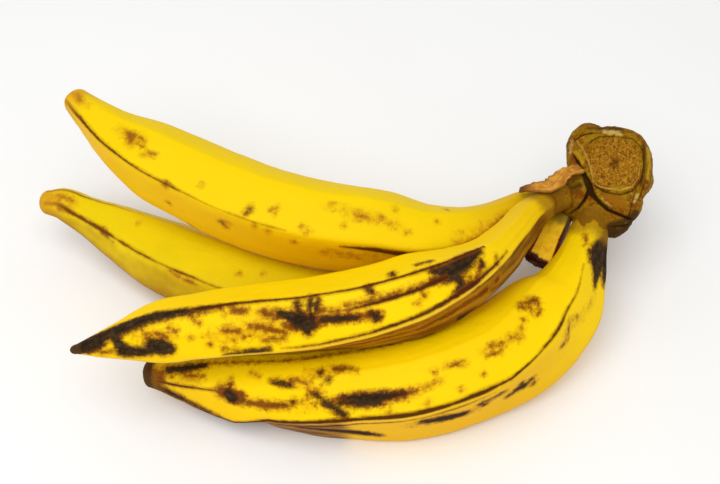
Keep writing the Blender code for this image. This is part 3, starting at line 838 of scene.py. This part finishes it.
def makeCrown(material):
    bm = bmesh.new()
    addKnob(bm)
    for centre, halfSizes, turn in crown["lumps"]:
        addLump(bm, centre, halfSizes, turn)
    for fruit in (topFruit, backFruit, middleFruit, frontFruit, cutStub):
        addSleeve(bm, fruit)
    bmesh.ops.recalc_face_normals(bm, faces=bm.faces)
    draft = bpy.data.objects.new("crown_draft", bpy.data.meshes.new("crown_draft"))
    bm.to_mesh(draft.data)
    bm.free()
    bpy.context.scene.collection.objects.link(draft)
    joined = draft.modifiers.new("joined", "REMESH")
    joined.mode = "VOXEL"
    joined.voxel_size = crown["voxel"]
    mesh = bpy.data.meshes.new_from_object(draft.evaluated_get(bpy.context.evaluated_depsgraph_get()))
    bpy.data.objects.remove(draft)
    bm = bmesh.new()
    bm.from_mesh(mesh)
    bpy.data.meshes.remove(mesh)
    for _ in range(crown["smoothing"]):
        bmesh.ops.smooth_vert(bm, verts=bm.verts, factor=0.5, use_axis_x=True, use_axis_y=True,
                              use_axis_z=True)
    sculptCrown(bm)
    toPiece(bm, crown, material)


def nearNeck(point):
    # 1 beside the neck of a fruit, 0 away from all of them
    best = 0.0
    for fruit in (topFruit, backFruit, middleFruit, frontFruit, cutStub):
        start, end = (Vector(row[:3]) for row in fruit["route"][:2])
        t = min(1.0, max(0.0, (point - start).dot(end - start) / (end - start).length_squared))
        away = (point - start - (end - start) * t).length - fruit["route"][0][3] / 2
        along = t * (end - start).length
        best = max(best, ease(away, *crown["neckAway"]) * ease(along, *crown["neckAlong"]))
    return best


def sculptCrown(bm):
    layers = newLayers(bm, ("cut", "crease", "lip", "neck", *crownTints), ("cutPlace",))
    toCut = cutPlane().inverted()
    seen = Vector(crown["seenFrom"])
    upSeen = Vector((0.0, seen.z, -seen.y))
    strokes = {name: strokeSpans(crown[name]) for name in ("creases", "lips", *crownTints)}
    bm.normal_update()
    for vert in bm.verts:
        point = vert.co.copy()
        across, up = point.x - crown["strokeShift"], point.dot(upSeen)
        toward = ease(vert.normal.dot(seen), 0.05, 0.35)
        depth = {name: depthInside(spans, across, up, 180.0 / pi) for name, spans in strokes.items()}
        crease = ease(depth["creases"], -0.7, 1.0) * toward
        lip = ease(depth["lips"], -0.6, 0.6) * toward
        local = toCut @ point + Vector((*crown["cutShift"], 0.0))
        reach = local.xy.length / squareness(local.x, local.y)
        wobble = noise.noise(point * 0.25) * 0.7
        inside = ease(crown["cutReach"] - reach + wobble, -0.5, 0.5) * ease(local.z, -3.5, -2.0)
        level = -local.z + noise.noise(Vector((local.x, local.y, 0)) * 0.08) * 2.5
        ring = max(exp(-((level - place) / crown["ringWidth"]) ** 2) for place in crown["rings"])
        patchy = 0.35 + 0.65 * ease(noise.noise(point * 0.07), -0.2, 0.3)
        ring *= ease(reach, 15.0, 17.0) * patchy * (1 - 0.7 * toward)
        around = noise.fractal(point * 0.06, 1.0, 2.2, 2) * crown["unevenness"]
        strand = Vector((local.x * 0.5, local.y * 0.5, local.z * 0.06)) + Vector((9, 4, 2))
        outside = around + noise.noise(strand) * crown["fibreHeight"] - ring * crown["ringDepth"]
        heart = exp(-(local.xy.length / crown["heartSize"]) ** 2) * crown["heartDepth"]
        onCut = noise.fractal(point * 0.5, 0.7, 2.1, 4) * crown["cutRoughness"] - heart - crown["cutDepth"]
        push = outside * (1 - inside) + onCut * inside
        push += lip * crown["lipHeight"] - crease * crown["creaseDepth"]
        vert.co = point + vert.normal * push
        vert[layers["cut"]] = inside
        # where shade is painted: the creases and the sheath edges
        vert[layers["crease"]] = max(crease, ring * 0.6)
        vert[layers["lip"]] = lip
        vert[layers["neck"]] = nearNeck(point)
        vert[layers["cutPlace"]] = local
        for name in crownTints:
            vert[layers[name]] = depth[name] if toward > 0.1 else skin["noMark"]
    for vert in bm.verts:
        vert.co = placed(*vert.co)


def crownMaterial():
    look = crownLook
    material, pen, place = newMaterial("crown_bark")
    cutPlace = pen.attribute("cutPlace", "Vector")
    fibres = cutPlace.scaled(1.0, 1.0, 0.14).cloud(1.4, 5.0, 0.65)
    patches = place.cloud(12.0, 3.0)
    mottle = place.cloud(3.0, 5.0, 0.62)
    grain = place.cloud(0.7, 3.0, 0.6)
    tone = (patches * 1.1 + fibres + mottle * 0.5 + 0.5).rise(0.0, 1.0)
    scuffed = (patches * 0.5 + fibres * 1.2 + mottle * 0.6).rise(0.3, 0.9)
    neck = (pen.attribute("neck") + mottle * 0.35).rise(0.25, 0.95)
    # tints laid over the crown; one of them is painted shadow
    tints = [((pen.attribute(name) + mottle * mottled + fibres * stranded).rise(low, high), strength, name)
             for name, (mottled, stranded, low, high, strength) in crownTints.items()]

    weave = cutPlace.cloud(1.6, 5.0, 0.72, 0.9)
    pores = cutPlace.cloud(2.2, 4.0, 0.7)
    across = cutPlace.scaled(1.0, 0.95, 0.0)
    middle = across.node("VectorMath", {"operation": "LENGTH"}, {0: across}, output=1)
    cutTone = (weave * 0.9 + pores * 0.6 + 0.55).rise(0.1, 0.95)
    cutColour = coated(cutTone.between(look["cutDark"], look["cut"]), look, (
        ((weave * 0.8 - pores * 0.5 + 0.1).rise(0.1, 0.6), 0.7, "cutPale"),
        ((middle + pores * 3.0).rise(4.0, 1.0), 0.75, "cutDark")))
    cut = (pen.attribute("cut") + mottle * 0.15).rise(0.35, 0.65)
    lip = (pen.attribute("lip") + mottle * 0.5 + fibres * 0.4).rise(0.3, 1.0)
    # painted shade: near black in the creases and along the sheath edges
    crease = (pen.attribute("crease") + mottle * 0.15).rise(0.15, 0.75)
    colour = coated(tone.between(look["brown"], look["olive"]), look, (
        (scuffed, 0.6, "pale"), (neck, 0.85, "neck"), *tints,
        (cut, 1.0, cutColour), (lip, 0.7, "lip"), (crease, 0.92, "crease")))
    height = fibres * 0.3 + mottle * 0.25 + grain * 0.1 + cut * weave * 0.4
    finishShader(pen, look, colour, mottle * 0.08, height)
    return material


# Stub

cutStub = {
    "node": "cut_stub", "slot": "stub_skin",
    "route": [(127, 0, 44, 12), (119, -8, 41.5, 12.5), (110.5, -22, 36.5, 16.2), (101.3, -40, 31.5, 18.8)],
    "flats": [(0, (-72, 10, 88, 160, 235))],
    "sharpness": 9.0, "root": 20, "step": 0.9, "columns": 80, "endRings": 4,
    "bulge": 0.14, "rootBulge": 0.2, "rootBulgeRun": (30, 14),     # shares of the radius, on its front side
    "jags": ((2.2, 5.0, 1.54), (7.0, 2.0, 0.7)),   # the torn edge: how fine, where in the noise, mm
    "slant": 2.6, "slantTurn": 55.0, "endRun": 14, "past": 3.0, "hollow": 0.8,     # mm and degrees
    "faceTurn": 15.0, "faceHalf": (28, 38),        # degrees, the pale face and where it ends; beyond it the sides are maroon, torn skin with painted shade
    "unevenness": 0.35, "fineness": 0.3,
}

stubLook = {
    "bright": "FFCE02", "deep": "D89A04", "side": "6E2206", "torn": "541C08", "neck": "8C7416",
    "crown": "6B4712", "roughness": 0.55, "bump": 0.6, "gloss": 0.3,
}


def makeStub(material):
    stations = smoothStations(cutStub["route"], cutStub["step"])
    run = distances(stations)
    length = run[-1]
    columns = cutStub["columns"]
    rings = len(stations) + cutStub["endRings"]
    flats = flatsAt(cutStub["flats"], 0.0)
    bm = bmesh.new()
    bmesh.ops.create_grid(bm, x_segments=columns, y_segments=rings - 1, size=1.0)
    layers = newLayers(bm, ("torn", "root", "side"), ("straight",))
    bm.verts.ensure_lookup_table()
    for i in range(rings):
        k = min(i, len(stations) - 1)
        inward = max(0, i - len(stations) + 1) / cutStub["endRings"]
        heading, up, front = facing(stations, k)
        bulge = cutStub["bulge"] + cutStub["rootBulge"] * ease(run[k], *cutStub["rootBulgeRun"])
        tornShare = ease(run[k], length - cutStub["endRun"], length)
        for j, angle in enumerate(ringAngles(flats, columns)):
            radius = ringRadius(stations[k], angle, flats, cutStub["sharpness"])
            radius *= 1.0 + bulge * max(0.0, sin(radians(angle)))
            out = up * cos(radians(angle)) + front * sin(radians(angle))
            around = Vector((cos(radians(angle)), sin(radians(angle)), 0.0))
            jag = sum(noise.noise(around * fine + upward * at) * size for fine, at, size in cutStub["jags"])
            slant = cutStub["slant"] * (cos(radians(angle - cutStub["slantTurn"])) * (1 - inward) - 1.0)
            slide = (jag + slant) * tornShare + cutStub["past"] - inward * cutStub["hollow"]
            point = stations[k].to_3d() + out * radius * (1 - inward) + heading * slide
            point += out * noise.noise(point * cutStub["fineness"]) * cutStub["unevenness"]
            vert = bm.verts[i * (columns + 1) + j]
            vert.co = placed(*point)
            vert[layers["straight"]] = straightened(run[k], radius, angle)
            vert[layers["side"]] = ease(abs(turnBetween(angle, cutStub["faceTurn"])), *cutStub["faceHalf"])
            vert[layers["torn"]] = inward * 4.0 + (run[k] - length) + 1.0
            vert[layers["root"]] = cutStub["root"] - run[k]
    bmesh.ops.remove_doubles(bm, verts=bm.verts, dist=1e-6)
    bmesh.ops.holes_fill(bm, edges=[edge for edge in bm.edges if edge.is_boundary], sides=0)
    bmesh.ops.recalc_face_normals(bm, faces=bm.faces)
    toPiece(bm, cutStub, material)


def stubMaterial():
    look = stubLook
    material, pen, place = newMaterial("stub_skin")
    streaks = pen.attribute("straight", "Vector").scaled(0.2, 1.0, 1.0).cloud(1.6, 4.0, 0.6)
    mottle = place.cloud(4.0, 5.0, 0.6)
    grain = place.cloud(0.8, 3.0, 0.6)
    tone = (mottle * 0.8 + streaks * 0.4 + 0.3).rise(0.0, 1.0)
    # maroon on all sides but the front face: torn skin with painted shade
    side = (pen.attribute("side") + mottle * 0.25 + streaks * 0.2).rise(0.25, 0.7)
    torn = (pen.attribute("torn") + streaks * 1.5 + mottle * 1.5).rise(-1.2, 0.8)
    root = pen.attribute("root") + mottle * 3.0
    colour = coated(tone.between(look["bright"], look["deep"]), look, (
        (side, 1.0, "side"), (torn, 1.0, "torn"),
        (root.rise(-6.0, 2.0), 0.85, "neck"), (root.rise(2.0, 9.0), 0.9, "crown")))
    finishShader(pen, look, colour, mottle * 0.08, streaks * 0.3 + mottle * 0.2 + grain * 0.08)
    return material


# Bract

driedBract = {
    "node": "dried_bract", "slot": "dry_bract",
    "route": [(91, -11.6, 62.6, 3), (99, -14, 67.3, 8.5), (107, -15.4, 69, 10.5), (116, -7, 70.5, 10),
              (125, -0.6, 67.7, 9), (131, 5.5, 63, 7)],
    "step": 0.6, "columns": 16, "thickness": 0.9,      # mm
    "tilt": 12.0, "curl": 1.2, "ripple": 0.5, "waver": 1.1, "ragged": 0.22,    # degrees, mm and a share
    "tip": 8.0,                                        # mm that are darker at its loose end
}

bractLook = {
    "deep": "AC6A18", "bright": "E6A83A", "tip": "5E3410", "edge": "6E3C12",
    "roughness": 0.72, "bump": 0.7, "gloss": 0.25,
}


def makeBract(material):
    stations = smoothStations(driedBract["route"], driedBract["step"])
    run = distances(stations)
    columns = driedBract["columns"]
    tilt = radians(driedBract["tilt"])
    bm = bmesh.new()
    bmesh.ops.create_grid(bm, x_segments=columns, y_segments=len(stations) - 1, size=1.0)
    layers = newLayers(bm, ("tip", "edge"), ("straight",))
    bm.verts.ensure_lookup_table()
    for i, station in enumerate(stations):
        heading = facing(stations, i)[0]
        across = heading.cross(upward).normalized() * cos(tilt) + upward * sin(tilt)
        lift = across.cross(heading)
        for j in range(columns + 1):
            side = 2.0 * j / columns - 1.0
            ragged = 1.0 + driedBract["ragged"] * noise.noise(Vector((run[i] * 0.35, side * 3.0, 1.0)))
            ripple = driedBract["ripple"] * sin(side * 9.0 + run[i] * 0.12)
            droop = driedBract["curl"] * side * side + ripple
            point = station.to_3d() + across * side * station.w / 2 * ragged - upward * droop
            point += lift * noise.noise(point * 0.22) * driedBract["waver"]
            vert = bm.verts[i * (columns + 1) + j]
            vert.co = placed(*point)
            vert[layers["straight"]] = Vector((run[i], side * station.w / 2, 0))
            vert[layers["tip"]] = driedBract["tip"] - run[i]
            vert[layers["edge"]] = abs(side)
    bmesh.ops.recalc_face_normals(bm, faces=bm.faces)
    bmesh.ops.solidify(bm, geom=bm.faces[:], thickness=driedBract["thickness"] * mm)
    bmesh.ops.recalc_face_normals(bm, faces=bm.faces)
    toPiece(bm, driedBract, material)


def bractMaterial():
    look = bractLook
    material, pen, place = newMaterial("dried_bract")
    fibres = pen.attribute("straight", "Vector").scaled(0.08, 1.0, 1.0).cloud(0.9, 4.0, 0.65)
    mottle = place.cloud(3.5, 5.0, 0.6)
    tone = (mottle * 0.8 + fibres * 0.6 + 0.45).rise(0.0, 1.0)
    tip = (pen.attribute("tip") + mottle * 5.0).rise(-3.0, 6.0)
    edge = (pen.attribute("edge") + fibres * 0.2).rise(0.8, 1.0)
    colour = tone.between(look["deep"], look["bright"])
    colour = coated(colour, look, ((tip, 0.85, "tip"), (edge, 0.6, "edge")))
    finishShader(pen, look, colour, mottle * 0.08, fibres * 0.4 + mottle * 0.3)
    return material


# Table, light and camera

studio = {
    "elevation": 50.0,     # degrees above the table
    "distance": 0.740, "lens": 60.0, "sensor": 36.0,
    "aim": (0.0098, 0.0547, 0.0),
    "skyLight": 0.76, "backdrop": 1.0,
    "lightSize": 1.5, "lightPower": 14.0, "lightPlace": (-0.25, -0.50, 1.35),
    "floorSize": 6.0, "floorDrop": 0.0002,
}

tableLook = {"warm": "FBFBFA", "cool": "F8F8F7", "roughness": 0.7, "bump": 0.1, "gloss": 0.2}


def tableMaterial():
    material, pen, place = newMaterial("pale_table")
    tone = (place.cloud(160.0, 2.0) * 0.5 + 0.5).rise(0.0, 1.0)
    colour = tone.between(tableLook["warm"], tableLook["cool"])
    finishShader(pen, tableLook, colour, tone * 0.05, place.cloud(3.0, 3.0) * 0.05)
    return material


def makeTable():
    bm = bmesh.new()
    bmesh.ops.create_grid(bm, x_segments=8, y_segments=8, size=studio["floorSize"])
    for vert in bm.verts:
        vert.co.z = -studio["floorDrop"]
    mesh = bpy.data.meshes.new("table_top")
    bm.to_mesh(mesh)
    bm.free()
    table = bpy.data.objects.new("table_top", mesh)
    bpy.context.scene.collection.objects.link(table)
    mesh.materials.append(tableMaterial())


def makeLights():
    scene = bpy.context.scene
    world = bpy.data.worlds.new("studio_sky")
    scene.world = world
    world.use_nodes = True
    world.node_tree.nodes.clear()
    pen = Wire(world.node_tree)
    seen = pen.node("LightPath", output="Is Camera Ray")    # the backdrop is paler than its light
    strength = seen * (studio["backdrop"] - studio["skyLight"]) + studio["skyLight"]
    back = pen.node("Background", {}, {"Strength": strength})
    pen.node("OutputWorld", {}, {"Surface": back})
    data = bpy.data.lights.new("soft_box", "AREA")
    data.shape = "SQUARE"
    data.size = studio["lightSize"]
    data.energy = studio["lightPower"]
    lamp = bpy.data.objects.new("soft_box", data)
    scene.collection.objects.link(lamp)
    lamp.location = studio["lightPlace"]
    lamp.rotation_euler = (Vector(studio["aim"]) - lamp.location).to_track_quat("-Z", "Y").to_euler()
    scene.view_settings.view_transform = "Standard"
    scene.view_settings.look = "None"


def makeCamera():
    tilt = radians(studio["elevation"])
    data = bpy.data.cameras.new("camera")
    data.lens = studio["lens"]
    data.sensor_width = studio["sensor"]
    camera = bpy.data.objects.new("camera", data)
    bpy.context.scene.collection.objects.link(camera)
    camera.location = Vector(studio["aim"]) + Vector((0, -cos(tilt), sin(tilt))) * studio["distance"]
    camera.rotation_euler = (pi / 2 - tilt, 0, 0)
    bpy.context.scene.camera = camera


makeCamera()
makeLights()
makeTable()
print("camera, light and table are set")

makeFruit(topFruit, skinMaterial("yellow_skin", yellowLook))
makeFruit(backFruit, skinMaterial("green_yellow_skin", greenLook))
bruisedSkin = skinMaterial("bruised_skin", bruisedLook)
makeFruit(middleFruit, bruisedSkin)
makeFruit(frontFruit, bruisedSkin)
print("four fruits are made")

makeCrown(crownMaterial())
makeStub(stubMaterial())
makeBract(bractMaterial())
print("crown, stub and bract are made")
